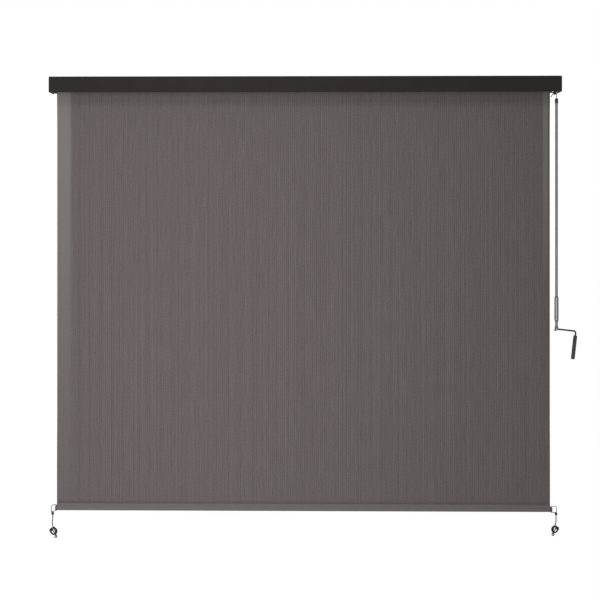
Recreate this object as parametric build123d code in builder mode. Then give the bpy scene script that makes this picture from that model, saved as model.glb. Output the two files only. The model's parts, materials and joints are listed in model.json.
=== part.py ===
"""Crank-operated outdoor roller shade with a valance, a hem tube and two bungee tie-downs.

+Z is up, +X is to the right seen from the front and the wall is the plane Y = 0.
The origin is the middle of the four wall screw holes, half way along the valance.
Every size is in millimetres.
"""

from build123d import *
from math import acos, atan2, cos, degrees, hypot, pi, radians, sin, tan
import os

os.makedirs("parts", exist_ok=True)

# Valance: a folded aluminium cover, 8 ft long over its moulded end caps
valance_length = 2438.0
cap_plate = 3.5
shell_half = valance_length / 2 - cap_plate
valance_half_height = 38.0
valance_front = -90.0
valance_wall = 2.0
valance_round = 11.0
valance_lip = 5.5
valance_hook_y = -7.0
valance_hook_drop = 10.0
channel_radius = 3.4
channel_bore = 1.6
channel_slot = 1.4
channels = [(-83.2, 31.2), (-85.2, -26.0)]
cap_screw_head, cap_screw_sink = 3.0, 1.6

# Wall brackets, folded from 3 mm steel
bracket_wall = 3.0
bracket_half = 34.5
bracket_depth = 80.0
left_face = -1213.0
right_face = 1210.0
wall_flange = 35.0
wall_hole_x = 1195.0
wall_hole_z = 27.0
wall_hole_radius = 3.25
clip_sheet = 1.5

# Roller: an aluminium tube with a keyway for the fabric spline
axis_y = -47.0
tube_left, tube_right = -1198.0, 1178.0
tube_radius = 25.0
tube_wall = 1.5
tube_bore = tube_radius - tube_wall
keyway_radius = 2.6
keyway_depth = 3.3
keyway_lips = 3.0
barrel_radius = 11.0
plug_reach = 40.0
plug_flange = 2.5
bush_radius = 8.0
idle_pin_radius = 5.0
running_gap = 0.05
rib_count = 8
rib_width = 2.5

# Fabric: it hangs from the wall side of the roll
fabric_left, fabric_right = -1196.0, 1177.5
fabric_thickness = 0.6
wrap_build_up = 1.5
fabric_y = axis_y + tube_radius + wrap_build_up + fabric_thickness / 2
fabric_top = -0.5
hem_bottom = -2048.0
hem_stitch = -2013.0
hem_radius = 11.0
hem_wall = 1.2
pocket_gap = 0.3
hem_z = hem_bottom + hem_radius + pocket_gap + fabric_thickness

# Worm gear: a three-start worm under a 21-tooth wheel, 7 crank turns for one of the roller
gear_x = 1189.5
module = 1.5
starts = 3
teeth = 21
pressure_angle = 20.0
worm_radius = 5.5
worm_outer = 7.0
worm_root = 3.7
worm_half = 12.0
wheel_radius = module * teeth / 2
wheel_outer = wheel_radius + module
wheel_root = wheel_radius - 1.85
wheel_width = 10.0
hexagon_radius = 6.0
end_journal_radius = 4.0
tooth_play = 0.14
lead = pi * module * starts
crank_y = axis_y - worm_radius - wheel_radius
upper_journal, lower_journal = 4.0, 4.5
worm_bush_radius, worm_bush_flange = 6.5, 7.6
eye_pin_z, eye_pin_radius = -26.8, 1.25
tail_radius = 3.5

# Gear housing, in two halves that part on the worm's centre line
housing_left, housing_right = 1180.2, right_face - bracket_wall
housing_half = 21.0
housing_front = -81.5
housing_screws = [(-78.4, 17.4), (-78.4, -17.4), (-31.0, 16.6), (-31.0, -16.6)]
housing_screw_radius, housing_screw_head = 1.5, 2.7
gear_clearance = 0.75

# Crank eye, hook and pole
eye_z = -38.4
eye_major, eye_minor = 9.5, 4.8
hook_wire = 2.5
hook_bend = 8.0
hook_z = eye_z - eye_major
hook_sweep = 149.0
hook_tail = 21.5
pole_x = gear_x + hook_bend
ferrule_top, ferrule_bottom = -69.0, -92.0
ferrule_radius = 7.65
spigot_length = 18.0
pole_radius = 6.35
pole_wall = 1.0
pole_bottom = -1150.0
sleeve_top, sleeve_bottom = -1014.0, -1125.0
sleeve_radius = 10.0
collar_radius, collar_height = 7.6, 4.0

# Folding crank handle
knuckle_z = -1165.0
arm_length = 92.0
arm_radius = 4.0
arm_bend = 10.0
arm_droop = 6.3
spindle_drop = 21.0
spindle_radius = 3.0
grip_length = 112.0
grip_radius = 9.0
grip_cap_height = 3.0
cap_bore = 6.4
flute_count, flute_radius = 12, 1.3

# Tie-downs
ring_wire = 1.5
ring_width = 26.5
ring_high, ring_low = 15.5, -14.3
tie_wire = 1.25
tie_bend = 8.3
ball_radius = 6.5
ball_rise = 9.0
end_major, end_minor = 4.9, 2.5
cord_radius = 2.25
turn_pitch = 4.6
coil_turns = 3


def section_plane(x):
    """A plane across the shade at x, with its own axes along +Y and +Z."""
    return Plane.YZ.offset(x)


def front_plane(y):
    """A plane facing the viewer at y, with its own axes along +X and +Z."""
    return Plane.XZ.offset(-y)


# Valance shell: front wall, rounded top edge, top flange, rear hook and lower lip
with BuildPart() as valance:
    with BuildSketch(section_plane(-shell_half)):
        middle = valance_half_height - valance_wall / 2
        front_middle = valance_front + valance_wall / 2
        with BuildLine():
            FilletPolyline(
                (valance_front + valance_lip, -middle),
                (front_middle, -middle),
                (front_middle, middle),
                (valance_hook_y, middle),
                (valance_hook_y, middle - valance_hook_drop),
                radius=[2.0, valance_round, 2.0],
            )
        trace(line_width=valance_wall)
        with Locations(*channels):
            Circle(channel_radius)
        with Locations(*channels):
            Circle(channel_bore, mode=Mode.SUBTRACT)
        with Locations(*[(y + channel_radius, z) for y, z in channels]):
            Rectangle(channel_radius * 2, channel_slot, mode=Mode.SUBTRACT)
    extrude(amount=2 * shell_half)
valance.part.label = "valance"
export_step(valance.part, "parts/valance.step")

# End caps: a moulded plate with a tab behind the front wall and a rim over the top flange
for side, name in [(-1, "valance_cap_left"), (1, "valance_cap_right")]:
    with BuildPart() as cap:
        with BuildSketch(section_plane(side * shell_half)):
            with BuildLine():
                Polyline(
                    (-1.0, -valance_half_height),
                    (valance_front, -valance_half_height),
                    (valance_front, valance_half_height),
                    (-1.0, valance_half_height),
                    close=True,
                )
            make_face()
            corners = vertices().group_by(Axis.X)[0].sort_by(Axis.Y)
            fillet(corners[-1], valance_round + valance_wall / 2)
            fillet(corners[0], 3.0)
        extrude(amount=side * cap_plate)
        outer = faces().sort_by(Axis.X)[-1 if side > 0 else 0]
        fillet(outer.edges(), 1.2)
        with BuildSketch(section_plane(side * shell_half)):
            with Locations((valance_front + valance_wall + 1.0, 2.0)):
                Rectangle(2.0, 36.0)
            with Locations((-40.0, valance_half_height - valance_wall - 0.7)):
                Rectangle(40.0, 1.4)
        extrude(amount=-side * 2.4)
        with BuildSketch(section_plane(side * shell_half)):
            with Locations((valance_front + valance_wall + 1.0, 2.0)):
                Rectangle(2.0, 32.0)
        extrude(amount=-side * 9.0)
        with BuildSketch(section_plane(side * shell_half)):
            with Locations(*channels):
                Circle(channel_bore)
        extrude(amount=side * cap_plate, mode=Mode.SUBTRACT)
        with BuildSketch(section_plane(side * (shell_half + cap_plate))):
            with Locations(*channels):
                Circle(channel_radius)
        extrude(amount=-side * cap_screw_sink, mode=Mode.SUBTRACT)
    cap.part.label = name
    export_step(cap.part, f"parts/{name}.step")

# Self-tapping screws that hold the caps in the valance's two screw channels
with BuildPart() as cap_screws:
    for side in (-1, 1):
        seat = side * (shell_half + cap_plate - cap_screw_sink)
        with BuildSketch(section_plane(seat)):
            with Locations(*channels):
                Circle(channel_bore)
        extrude(amount=-side * 14.0)
        with BuildSketch(section_plane(seat)):
            with Locations(*channels):
                Circle(cap_screw_head)
        extrude(amount=side * 1.5)
cap_screws.part.label = "valance_cap_screws"
export_step(cap_screws.part, "parts/valance_cap_screws.step")


def wall_bracket(side, outer_face, top_reach, holes, hole_radius):
    """A folded steel bracket: side plate, wall flange with two screw holes, top flange."""
    wall_reach = outer_face - side * wall_flange
    with BuildPart() as bracket:
        with BuildSketch(section_plane(outer_face)):
            with Locations((-bracket_depth / 2, 0)):
                Rectangle(bracket_depth, 2 * bracket_half)
            fillet(vertices().group_by(Axis.X)[0], 10.0)
            with Locations((valance_hook_y, bracket_half)):
                Rectangle(4.4, 2 * (valance_hook_drop - 0.5), mode=Mode.SUBTRACT)
            with Locations(*holes):
                Circle(hole_radius, mode=Mode.SUBTRACT)
        extrude(amount=-side * bracket_wall)
        with BuildSketch(front_plane(0)):
            with Locations(((outer_face + wall_reach) / 2, 0)):
                Rectangle(wall_flange, 2 * bracket_half)
            with Locations((side * wall_hole_x, wall_hole_z), (side * wall_hole_x, -wall_hole_z)):
                Circle(wall_hole_radius, mode=Mode.SUBTRACT)
        extrude(amount=bracket_wall)
        with BuildSketch(Plane.XY.offset(bracket_half)):
            with Locations(((outer_face + top_reach) / 2, -43.5)):
                Rectangle(abs(outer_face - top_reach), 63.0)
        extrude(amount=-bracket_wall)
        back = edges().filter_by(Axis.Z).group_by(Axis.Y)[-1]
        folds = back.sort_by(Axis.X)[-1] if side > 0 else back.sort_by(Axis.X)[0]
        fillet(folds, 3.5)
        tips = edges().filter_by(Axis.Y).filter_by_position(
            Axis.X, wall_reach - 0.1, wall_reach + 0.1
        )
        fillet(tips, 1.4)
    return bracket


bracket_idle = wall_bracket(-1, left_face, left_face + 14.0, [(axis_y, 0)], idle_pin_radius)
bracket_idle.part.label = "bracket_idle"
export_step(bracket_idle.part, "parts/bracket_idle.step")

bracket_gear = wall_bracket(
    1, right_face, right_face - 17.0, housing_screws, housing_screw_radius
)
bracket_gear.part.label = "bracket_gear"
export_step(bracket_gear.part, "parts/bracket_gear.step")

# Spring clips that straddle the brackets' top flanges and carry the valance
for name, clip_x in [("valance_clip_left", -1208.5), ("valance_clip_right", 1196.0)]:
    with BuildPart() as clip:
        with BuildSketch(section_plane(clip_x)):
            clip_z = bracket_half + clip_sheet / 2
            with BuildLine():
                FilletPolyline(
                    (-74.4, 27.5),
                    (-76.0, 31.0),
                    (-76.0, clip_z),
                    (-11.0, clip_z),
                    (-11.0, 31.5),
                    (-12.6, 28.0),
                    radius=[1.5, 0.9, 0.9, 1.5],
                )
            trace(line_width=clip_sheet)
        extrude(amount=9.0)
    clip.part.label = name
    export_step(clip.part, f"parts/{name}.step")

# Roller tube with its keyway, drawn in a plane across the roller
keyway_z = tube_radius - keyway_depth
with BuildPart() as roller_tube:
    with BuildSketch(section_plane(tube_left)):
        with Locations((axis_y, 0)):
            Circle(tube_radius)
            Circle(tube_bore, mode=Mode.SUBTRACT)
        with Locations((axis_y, tube_radius - 4.6)):
            Rectangle(9.0, 8.0)
        with Locations((axis_y, keyway_z)):
            Circle(keyway_radius, mode=Mode.SUBTRACT)
        with Locations((axis_y, tube_radius)):
            Rectangle(keyway_lips, 4.0, mode=Mode.SUBTRACT)
    extrude(amount=tube_right - tube_left)
roller_tube.part.label = "roller_tube"
export_step(roller_tube.part, "parts/roller_tube.step")

# Spline that locks the top edge of the fabric in the keyway
with BuildPart() as fabric_spline:
    with BuildSketch(section_plane(fabric_left)):
        with Locations((axis_y, keyway_z)):
            Circle(keyway_radius - 0.3)
    extrude(amount=fabric_right - fabric_left)
fabric_spline.part.label = "fabric_spline"
export_step(fabric_spline.part, "parts/fabric_spline.step")

# Two turns of fabric left on the tube: the outer surface spirals in by half arcs
roll_start = tube_radius + wrap_build_up + fabric_thickness
roll_pitch = 0.9
with BuildPart() as fabric_wraps:
    with BuildSketch(section_plane(fabric_left)):
        with BuildLine():
            over = RadiusArc(
                (axis_y + roll_start, 0),
                (axis_y - roll_start + roll_pitch / 2, 0),
                -(roll_start - roll_pitch / 4),
            )
            under = RadiusArc(
                over @ 1,
                (axis_y + roll_start - roll_pitch, 0),
                -(roll_start - 3 * roll_pitch / 4),
            )
            Line(under @ 1, over @ 0)
        make_face()
        with Locations((axis_y, 0)):
            Circle(tube_radius, mode=Mode.SUBTRACT)
    extrude(amount=fabric_right - fabric_left)
fabric_wraps.part.label = "fabric_wraps"
export_step(fabric_wraps.part, "parts/fabric_wraps.step")


def rib_marks(inner, outer):
    """Sketch a ring of ribs that miss the keyway, between two radii about the roller axis."""
    middle = (inner + outer) / 2
    with Locations((axis_y, 0)):
        with PolarLocations(middle, rib_count, start_angle=180 / rib_count):
            Rectangle(outer - inner, rib_width)


# Idle plug: a flange and a ribbed barrel pressed into the left end of the tube
with BuildPart() as idle_plug:
    with BuildSketch(section_plane(tube_left)):
        with Locations((axis_y, 0)):
            Circle(barrel_radius)
        rib_marks(barrel_radius - 1, tube_bore - 0.1)
    extrude(amount=plug_reach)
    with BuildSketch(section_plane(tube_left)):
        with Locations((axis_y, 0)):
            Circle(tube_radius)
    extrude(amount=-plug_flange)
    fillet(faces().sort_by(Axis.X)[0].edges(), 0.8)
    with BuildSketch(section_plane(tube_left - plug_flange)):
        with Locations((axis_y, 0)):
            Circle(bush_radius)
    extrude(amount=plug_reach + plug_flange, mode=Mode.SUBTRACT)
idle_plug.part.label = "idle_plug"
export_step(idle_plug.part, "parts/idle_plug.step")

# Plain bush in the idle plug, and the pin it turns on
with BuildPart() as idle_bush:
    with BuildSketch(section_plane(tube_left - plug_flange)):
        with Locations((axis_y, 0)):
            Circle(bush_radius)
            Circle(idle_pin_radius + running_gap, mode=Mode.SUBTRACT)
    extrude(amount=plug_reach / 2)
idle_bush.part.label = "idle_bush"
export_step(idle_bush.part, "parts/idle_bush.step")

with BuildPart() as idle_pin:
    with BuildSketch(section_plane(left_face - 2.0)):
        with Locations((axis_y, 0)):
            Circle(8.0)
    extrude(amount=2.0)
    with BuildSketch(section_plane(left_face)):
        with Locations((axis_y, 0)):
            Circle(idle_pin_radius)
    extrude(amount=34.0)
    chamfer(faces().sort_by(Axis.X)[-1].edges(), 1.0)
    with BuildSketch(section_plane(left_face + bracket_wall)):
        with Locations((axis_y, 0)):
            Circle(9.0)
    extrude(amount=5.0)
idle_pin.part.label = "idle_pin"
export_step(idle_pin.part, "parts/idle_pin.step")

# Drive adapter: ribbed barrel in the tube, journal, hexagon through the wheel, end journal
adapter_flange = 1.8
with BuildPart() as drive_adapter:
    with BuildSketch(section_plane(tube_right - plug_reach)):
        with Locations((axis_y, 0)):
            Circle(barrel_radius)
            Circle(6.0, mode=Mode.SUBTRACT)
        rib_marks(barrel_radius - 1, tube_bore - 0.1)
    extrude(amount=plug_reach)
    with BuildSketch(section_plane(tube_right)):
        with Locations((axis_y, 0)):
            Circle(tube_radius)
    extrude(amount=adapter_flange)
    with BuildSketch(section_plane(tube_right + adapter_flange)):
        with Locations((axis_y, 0)):
            Circle(bush_radius)
    extrude(amount=gear_x - wheel_width / 2 - tube_right - adapter_flange)
    with BuildSketch(section_plane(gear_x - wheel_width / 2)):
        with Locations((axis_y, 0)):
            RegularPolygon(hexagon_radius, 6)
    extrude(amount=wheel_width + 0.2)
    with BuildSketch(section_plane(gear_x + wheel_width / 2 + 0.2)):
        with Locations((axis_y, 0)):
            Circle(end_journal_radius)
    extrude(amount=8.0)
drive_adapter.part.label = "drive_adapter"
export_step(drive_adapter.part, "parts/drive_adapter.step")


def involute_half_angle(radius):
    """Half the angle that a wheel tooth covers at a radius, in radians."""
    base = wheel_radius * cos(radians(pressure_angle))
    at_pitch = tan(radians(pressure_angle)) - radians(pressure_angle)
    roll = acos(min(1.0, base / radius))
    play = tooth_play / wheel_radius
    return pi / 2 / teeth - play + at_pitch - (tan(roll) - roll)


def thread_half_angle(radius):
    """Half the angle that a worm thread covers at a radius, across the worm's axis."""
    flank = (radius - worm_radius) * tan(radians(pressure_angle))
    half_thickness = pi * module / 4 - flank - tooth_play
    return 2 * pi * half_thickness / lead


def tooth_face(radii, half_angle, centre_angle):
    """One tooth across its gear's axis: two curved flanks, a tip arc and a buried foot."""

    def point(radius, angle):
        return (radius * cos(centre_angle + angle), radius * sin(centre_angle + angle))

    low, middle, high = radii
    with BuildSketch() as tooth:
        with BuildLine():
            right = ThreePointArc(
                point(low, -half_angle(low)),
                point(middle, -half_angle(middle)),
                point(high, -half_angle(high)),
            )
            left = ThreePointArc(
                point(high, half_angle(high)),
                point(middle, half_angle(middle)),
                point(low, half_angle(low)),
            )
            ThreePointArc(right @ 1, point(high, 0), left @ 0)
            Polyline(left @ 1, point(low - 0.6, 0), right @ 0)
        make_face()
    return tooth.sketch


# Worm wheel: the twisted teeth follow the worm's lead angle
wheel_twist = degrees(wheel_width * lead / (2 * pi * worm_radius) / wheel_radius)
with BuildSketch() as wheel_section:
    Circle(wheel_root)
    for index in range(teeth):
        tooth_angle = pi + 2 * pi * index / teeth - radians(wheel_twist) / 2
        tooth_radii = (wheel_root - 0.05, wheel_radius, wheel_outer)
        add(tooth_face(tooth_radii, involute_half_angle, tooth_angle))
with BuildPart() as worm_wheel:
    add(
        Plane(origin=(gear_x - wheel_width / 2, axis_y, 0), x_dir=(0, 1, 0), z_dir=(1, 0, 0))
        * Solid.extrude_linear_with_rotation(
            wheel_section.face(), (0, 0, 0), (0, 0, wheel_width), wheel_twist
        )
    )
    with BuildSketch(section_plane(gear_x - wheel_width / 2)):
        with Locations((axis_y, 0)):
            RegularPolygon(hexagon_radius, 6)
    extrude(amount=wheel_width, mode=Mode.SUBTRACT)
worm_wheel.part.label = "worm_wheel"
export_step(worm_wheel.part, "parts/worm_wheel.step")

# Worm: three twisted threads between its journals, with a tail for the crank eye
worm_twist = degrees(2 * worm_half * 2 * pi / lead)
clip_groove = 3.8
with BuildSketch() as worm_section:
    Circle(worm_root)
    for index in range(starts):
        start_angle = pi / 2 + pi / starts + 2 * pi * index / starts - radians(worm_twist) / 2
        thread_radii = (worm_root - 0.05, worm_radius, worm_outer)
        add(tooth_face(thread_radii, thread_half_angle, start_angle))
with BuildPart() as worm:
    add(
        Location((gear_x, crank_y, -worm_half))
        * Solid.extrude_linear_with_rotation(
            worm_section.face(), (0, 0, 0), (0, 0, 2 * worm_half), worm_twist
        )
    )
    for low_z, high_z, radius in [
        (worm_half, 17.6, upper_journal),
        (-21.7, -worm_half, lower_journal),
        (-22.6, -21.7, clip_groove),
        (-30.4, -22.6, tail_radius),
    ]:
        with BuildSketch(Plane.XY.offset(low_z)):
            with Locations((gear_x, crank_y)):
                Circle(radius)
        extrude(amount=high_z - low_z)
    with BuildSketch(section_plane(gear_x - 8)):
        with Locations((crank_y, eye_pin_z)):
            Circle(eye_pin_radius)
    extrude(amount=16, mode=Mode.SUBTRACT)
worm.part.label = "worm"
export_step(worm.part, "parts/worm.step")

# Retaining ring below the housing
with BuildPart() as worm_circlip:
    with BuildSketch(Plane.XY.offset(-22.55)):
        with Locations((gear_x, crank_y)):
            Circle(6.6)
            Circle(clip_groove, mode=Mode.SUBTRACT)
        with Locations((gear_x, crank_y - 5.5)):
            Rectangle(3.0, 5.0, mode=Mode.SUBTRACT)
    extrude(amount=0.8)
worm_circlip.part.label = "worm_circlip"
export_step(worm_circlip.part, "parts/worm_circlip.step")

# Crank eye: a moulded ring hanging edge-on below the valance, on a neck round the worm's tail
neck_top = -22.9
with BuildPart() as crank_eye:
    with Locations(Location((gear_x, crank_y, eye_z), (0, 90, 0))):
        Torus(eye_major, eye_minor)
    with BuildSketch(Plane.XY.offset(eye_z + eye_major)):
        with Locations((gear_x, crank_y)):
            Circle(4.7)
    with BuildSketch(Plane.XY.offset(neck_top)):
        with Locations((gear_x, crank_y)):
            Circle(6.6)
    loft()
    with BuildSketch(Plane.XY.offset(neck_top)):
        with Locations((gear_x, crank_y)):
            Circle(tail_radius)
    extrude(amount=-7.5, mode=Mode.SUBTRACT)
    with BuildSketch(section_plane(gear_x - 8)):
        with Locations((crank_y, eye_pin_z)):
            Circle(eye_pin_radius)
    extrude(amount=16, mode=Mode.SUBTRACT)
crank_eye.part.label = "crank_eye"
export_step(crank_eye.part, "parts/crank_eye.step")

with BuildPart() as eye_pin:
    with BuildSketch(section_plane(gear_x - 5.4)):
        with Locations((crank_y, eye_pin_z)):
            Circle(eye_pin_radius)
    extrude(amount=10.8)
eye_pin.part.label = "eye_pin"
export_step(eye_pin.part, "parts/eye_pin.step")

# Bushes for the worm
for name, low_z, high_z, bore, flange_z in [
    ("worm_bush_upper", worm_half + 0.3, 18.0, upper_journal + running_gap, worm_half + 0.3),
    ("worm_bush_lower", -housing_half, -worm_half - 0.3, lower_journal + running_gap,
     -worm_half - 1.5),
]:
    with BuildPart() as bush:
        with BuildSketch(Plane.XY.offset(low_z)):
            with Locations((gear_x, crank_y)):
                Circle(worm_bush_radius)
        extrude(amount=high_z - low_z)
        with BuildSketch(Plane.XY.offset(flange_z)):
            with Locations((gear_x, crank_y)):
                Circle(worm_bush_flange)
        extrude(amount=1.2)
        with BuildSketch(Plane.XY.offset(low_z)):
            with Locations((gear_x, crank_y)):
                Circle(bore)
        extrude(amount=high_z - low_z, mode=Mode.SUBTRACT)
    bush.part.label = name
    export_step(bush.part, f"parts/{name}.step")


def housing_half_shell(from_x, to_x):
    """One half of the gear housing between two planes, with its pockets and screw holes."""
    with BuildPart() as half:
        with BuildSketch(section_plane(from_x)):
            with Locations(((housing_front + axis_y) / 2, 0)):
                RectangleRounded(axis_y - housing_front, 2 * housing_half, 4.0)
            with Locations((axis_y - 6.0, 0)):
                Rectangle(12.0, 2 * housing_half)
            with Locations((axis_y, 0)):
                Circle(housing_half)
            with Locations(*housing_screws[2:]):
                Circle(4.4)
            with Locations(*housing_screws):
                Circle(housing_screw_radius, mode=Mode.SUBTRACT)
        extrude(amount=to_x - from_x)
        with BuildSketch(section_plane(gear_x - wheel_width / 2 - 0.4)):
            with Locations((axis_y, 0)):
                Circle(wheel_outer + gear_clearance)
        extrude(amount=wheel_width + 0.8, mode=Mode.SUBTRACT)
        for low_z, high_z, radius in [
            (-worm_half - 0.3, worm_half + 0.3, worm_outer + gear_clearance),
            (worm_half + 0.2, 18.0, worm_bush_radius),
            (-housing_half, -worm_half, worm_bush_radius),
            (worm_half + 0.2, worm_half + 1.5, worm_bush_flange),
            (-worm_half - 1.5, -worm_half - 0.2, worm_bush_flange),
        ]:
            with BuildSketch(Plane.XY.offset(low_z)):
                with Locations((gear_x, crank_y)):
                    Circle(radius)
            extrude(amount=high_z - low_z, mode=Mode.SUBTRACT)
    return half


head_depth, head_height = 2.4, 2.0
with BuildPart() as gear_housing_inner:
    add(housing_half_shell(housing_left, gear_x).part)
    with BuildSketch(section_plane(housing_left)):
        with Locations((axis_y, 0)):
            Circle(bush_radius + running_gap + 0.01)
    extrude(amount=4.5, mode=Mode.SUBTRACT)
    with BuildSketch(section_plane(housing_left)):
        with Locations(*housing_screws):
            Circle(housing_screw_head + 0.1)
    extrude(amount=head_depth, mode=Mode.SUBTRACT)
gear_housing_inner.part.label = "gear_housing_inner"
export_step(gear_housing_inner.part, "parts/gear_housing_inner.step")

with BuildPart() as gear_housing_outer:
    add(housing_half_shell(gear_x, housing_right).part)
    with BuildSketch(section_plane(gear_x)):
        with Locations((axis_y, 0)):
            Circle(end_journal_radius + running_gap + 0.01)
    extrude(amount=14.5, mode=Mode.SUBTRACT)
gear_housing_outer.part.label = "gear_housing_outer"
export_step(gear_housing_outer.part, "parts/gear_housing_outer.step")

with BuildPart() as gear_screws:
    with BuildSketch(section_plane(housing_left + head_depth - head_height)):
        with Locations(*housing_screws):
            Circle(housing_screw_head)
    extrude(amount=head_height)
    with BuildSketch(section_plane(housing_left + head_depth)):
        with Locations(*housing_screws):
            Circle(housing_screw_radius)
    extrude(amount=right_face - housing_left - head_depth)
gear_screws.part.label = "gear_screws"
export_step(gear_screws.part, "parts/gear_screws.step")

# Hook: one bent wire, up the pole's axis, over the eye's lower bar and down to a free tail
hook_foot = ferrule_bottom + 4.0
tail_turn = radians(hook_sweep)
tail_start = (gear_x + hook_bend * cos(tail_turn), hook_z + hook_bend * sin(tail_turn))
tail_end = (
    tail_start[0] - hook_tail * sin(tail_turn),
    tail_start[1] + hook_tail * cos(tail_turn),
)
with BuildPart() as pole_hook:
    with BuildLine(front_plane(crank_y)) as hook_path:
        Line((pole_x, hook_foot), (pole_x, hook_z))
        CenterArc((gear_x, hook_z), hook_bend, 0, hook_sweep)
        Line(tail_start, tail_end)
    with BuildSketch(Plane.XY.offset(hook_foot)):
        with Locations((pole_x, crank_y)):
            Circle(hook_wire)
    sweep(path=hook_path.wire())
    rims = edges().filter_by(GeomType.CIRCLE)
    chamfer(rims.sort_by_distance((tail_end[0], crank_y, tail_end[1]))[0], 0.9)
pole_hook.part.label = "pole_hook"
export_step(pole_hook.part, "parts/pole_hook.step")

# Ferrule: moulded on the hook's shank, with a spigot inside the top of the pole
pole_bore = pole_radius - pole_wall
with BuildPart() as pole_ferrule:
    with BuildSketch(front_plane(crank_y)):
        with BuildLine():
            Polyline(
                (pole_x, ferrule_top),
                (pole_x + 5.4, ferrule_top),
                (pole_x + ferrule_radius, ferrule_top - 3.0),
                (pole_x + ferrule_radius, ferrule_bottom),
                (pole_x + pole_bore, ferrule_bottom),
                (pole_x + pole_bore, ferrule_bottom - spigot_length),
                (pole_x, ferrule_bottom - spigot_length),
                close=True,
            )
        make_face()
    revolve(axis=Axis((pole_x, crank_y, 0), (0, 0, 1)))
    with BuildSketch(Plane.XY.offset(hook_foot)):
        with Locations((pole_x, crank_y)):
            Circle(hook_wire)
    extrude(amount=30, mode=Mode.SUBTRACT)
pole_ferrule.part.label = "pole_ferrule"
export_step(pole_ferrule.part, "parts/pole_ferrule.step")


def ring_about_pole(low_z, high_z, outer, inner, edge):
    """A plain ring on the pole between two heights, with its outer edges eased."""
    with BuildPart() as ring:
        with BuildSketch(Plane.XY.offset(low_z)):
            with Locations((pole_x, crank_y)):
                Circle(outer)
        extrude(amount=high_z - low_z)
        if edge:
            fillet(edges().filter_by(GeomType.CIRCLE), edge)
        with BuildSketch(Plane.XY.offset(low_z)):
            with Locations((pole_x, crank_y)):
                Circle(inner)
        extrude(amount=high_z - low_z, mode=Mode.SUBTRACT)
    return ring


pole_tube = ring_about_pole(pole_bottom, ferrule_bottom, pole_radius, pole_bore, 0)
pole_tube.part.label = "pole_tube"
export_step(pole_tube.part, "parts/pole_tube.step")

# Loose sleeve for the upper hand, kept in place by a collar at each end
pole_sleeve = ring_about_pole(sleeve_bottom, sleeve_top, sleeve_radius, pole_radius + 0.1, 2.4)
pole_sleeve.part.label = "pole_sleeve"
export_step(pole_sleeve.part, "parts/pole_sleeve.step")

for name, low_z in [
    ("sleeve_stop_upper", sleeve_top + 0.4),
    ("sleeve_stop_lower", sleeve_bottom - collar_height - 0.4),
]:
    collar = ring_about_pole(low_z, low_z + collar_height, collar_radius, pole_radius, 0.6)
    collar.part.label = name
    export_step(collar.part, f"parts/{name}.step")

# Knuckle: a fork plugged into the foot of the pole, with a small stop ear
fork_half, tongue_half, fork_outer = 3.2, 3.0, 6.2
fork_radius, fork_flange = 7.0, 4.0
knuckle_pin_radius, pin_head_radius, pin_head_height = 2.0, 3.4, 1.2
fork_top = pole_bottom - fork_flange
with BuildPart() as knuckle_clevis:
    with BuildSketch(Plane.XY.offset(fork_top)):
        with Locations((pole_x, crank_y)):
            Circle(collar_radius)
    extrude(amount=fork_flange)
    with BuildSketch(Plane.XY.offset(pole_bottom)):
        with Locations((pole_x, crank_y)):
            Circle(pole_bore)
    extrude(amount=20.0)
    with BuildSketch(front_plane(crank_y - fork_outer)):
        with Locations((pole_x, knuckle_z)):
            Circle(fork_radius)
        with Locations((pole_x, (knuckle_z + fork_top) / 2)):
            Rectangle(2 * fork_radius, fork_top - knuckle_z)
        with BuildLine():
            Polyline(
                (pole_x - 2.0, knuckle_z - 6.0),
                (pole_x - 9.5, knuckle_z - 9.5),
                (pole_x - 10.5, knuckle_z - 6.5),
                (pole_x - 6.0, knuckle_z + 1.0),
                close=True,
            )
        make_face()
    extrude(amount=-2 * fork_outer)
    with BuildSketch(front_plane(crank_y - fork_half)):
        with Locations((pole_x, knuckle_z - 3.0)):
            Rectangle(40.0, 20.4)
    extrude(amount=-2 * fork_half, mode=Mode.SUBTRACT)
    with BuildSketch(front_plane(crank_y - 10)):
        with Locations((pole_x, knuckle_z)):
            Circle(knuckle_pin_radius)
    extrude(amount=-20, mode=Mode.SUBTRACT)
knuckle_clevis.part.label = "knuckle_clevis"
export_step(knuckle_clevis.part, "parts/knuckle_clevis.step")

with BuildPart() as knuckle_pin:
    with BuildSketch(front_plane(crank_y - fork_outer)):
        with Locations((pole_x, knuckle_z)):
            Circle(knuckle_pin_radius)
    extrude(amount=-2 * fork_outer)
    for face in (-1, 1):
        with BuildSketch(front_plane(crank_y + face * fork_outer)):
            with Locations((pole_x, knuckle_z)):
                Circle(pin_head_radius)
        extrude(amount=-face * pin_head_height)
knuckle_pin.part.label = "knuckle_pin"
export_step(knuckle_pin.part, "parts/knuckle_pin.step")

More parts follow.
